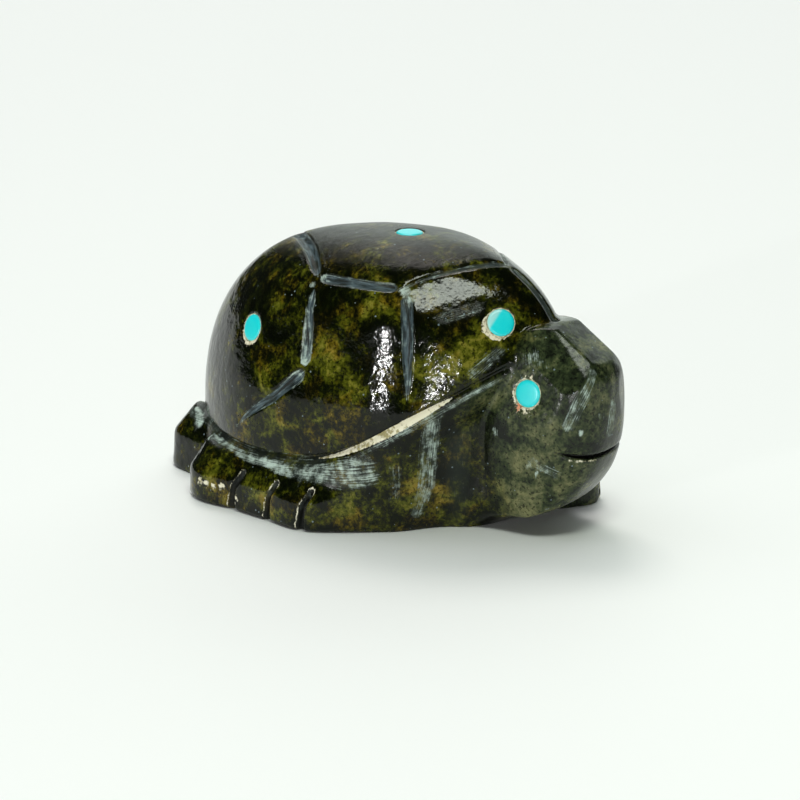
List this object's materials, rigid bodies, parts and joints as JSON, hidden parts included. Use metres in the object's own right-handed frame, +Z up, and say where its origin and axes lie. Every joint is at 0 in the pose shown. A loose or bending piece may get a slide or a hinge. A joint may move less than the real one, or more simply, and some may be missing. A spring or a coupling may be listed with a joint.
{
  "type": "turtle fetish",
  "caption": "Small carved stone turtle on a flat underside, with a high grooved shell, a blunt head and round inlays set flush in the shell and as eyes.",
  "frame": {"origin": "middle of the footprint, on the ground", "axes": "+Z up; the turtle faces -Y, and its right side is towards -X"},
  "size_m": [0.0312, 0.0528, 0.0291],
  "materials": {
    "stone": "polished green serpentine",
    "inlay": "polished turquoise"
  },
  "bodies": {
    "root": {"turtle_stone": "stone", "shell_inlay_top": "inlay", "shell_inlay_front_right": "inlay", "shell_inlay_rear_right": "inlay", "shell_inlay_front_left": "inlay", "shell_inlay_rear_left": "inlay", "eye_right": "inlay", "eye_left": "inlay"}
  },
  "joints": []
}
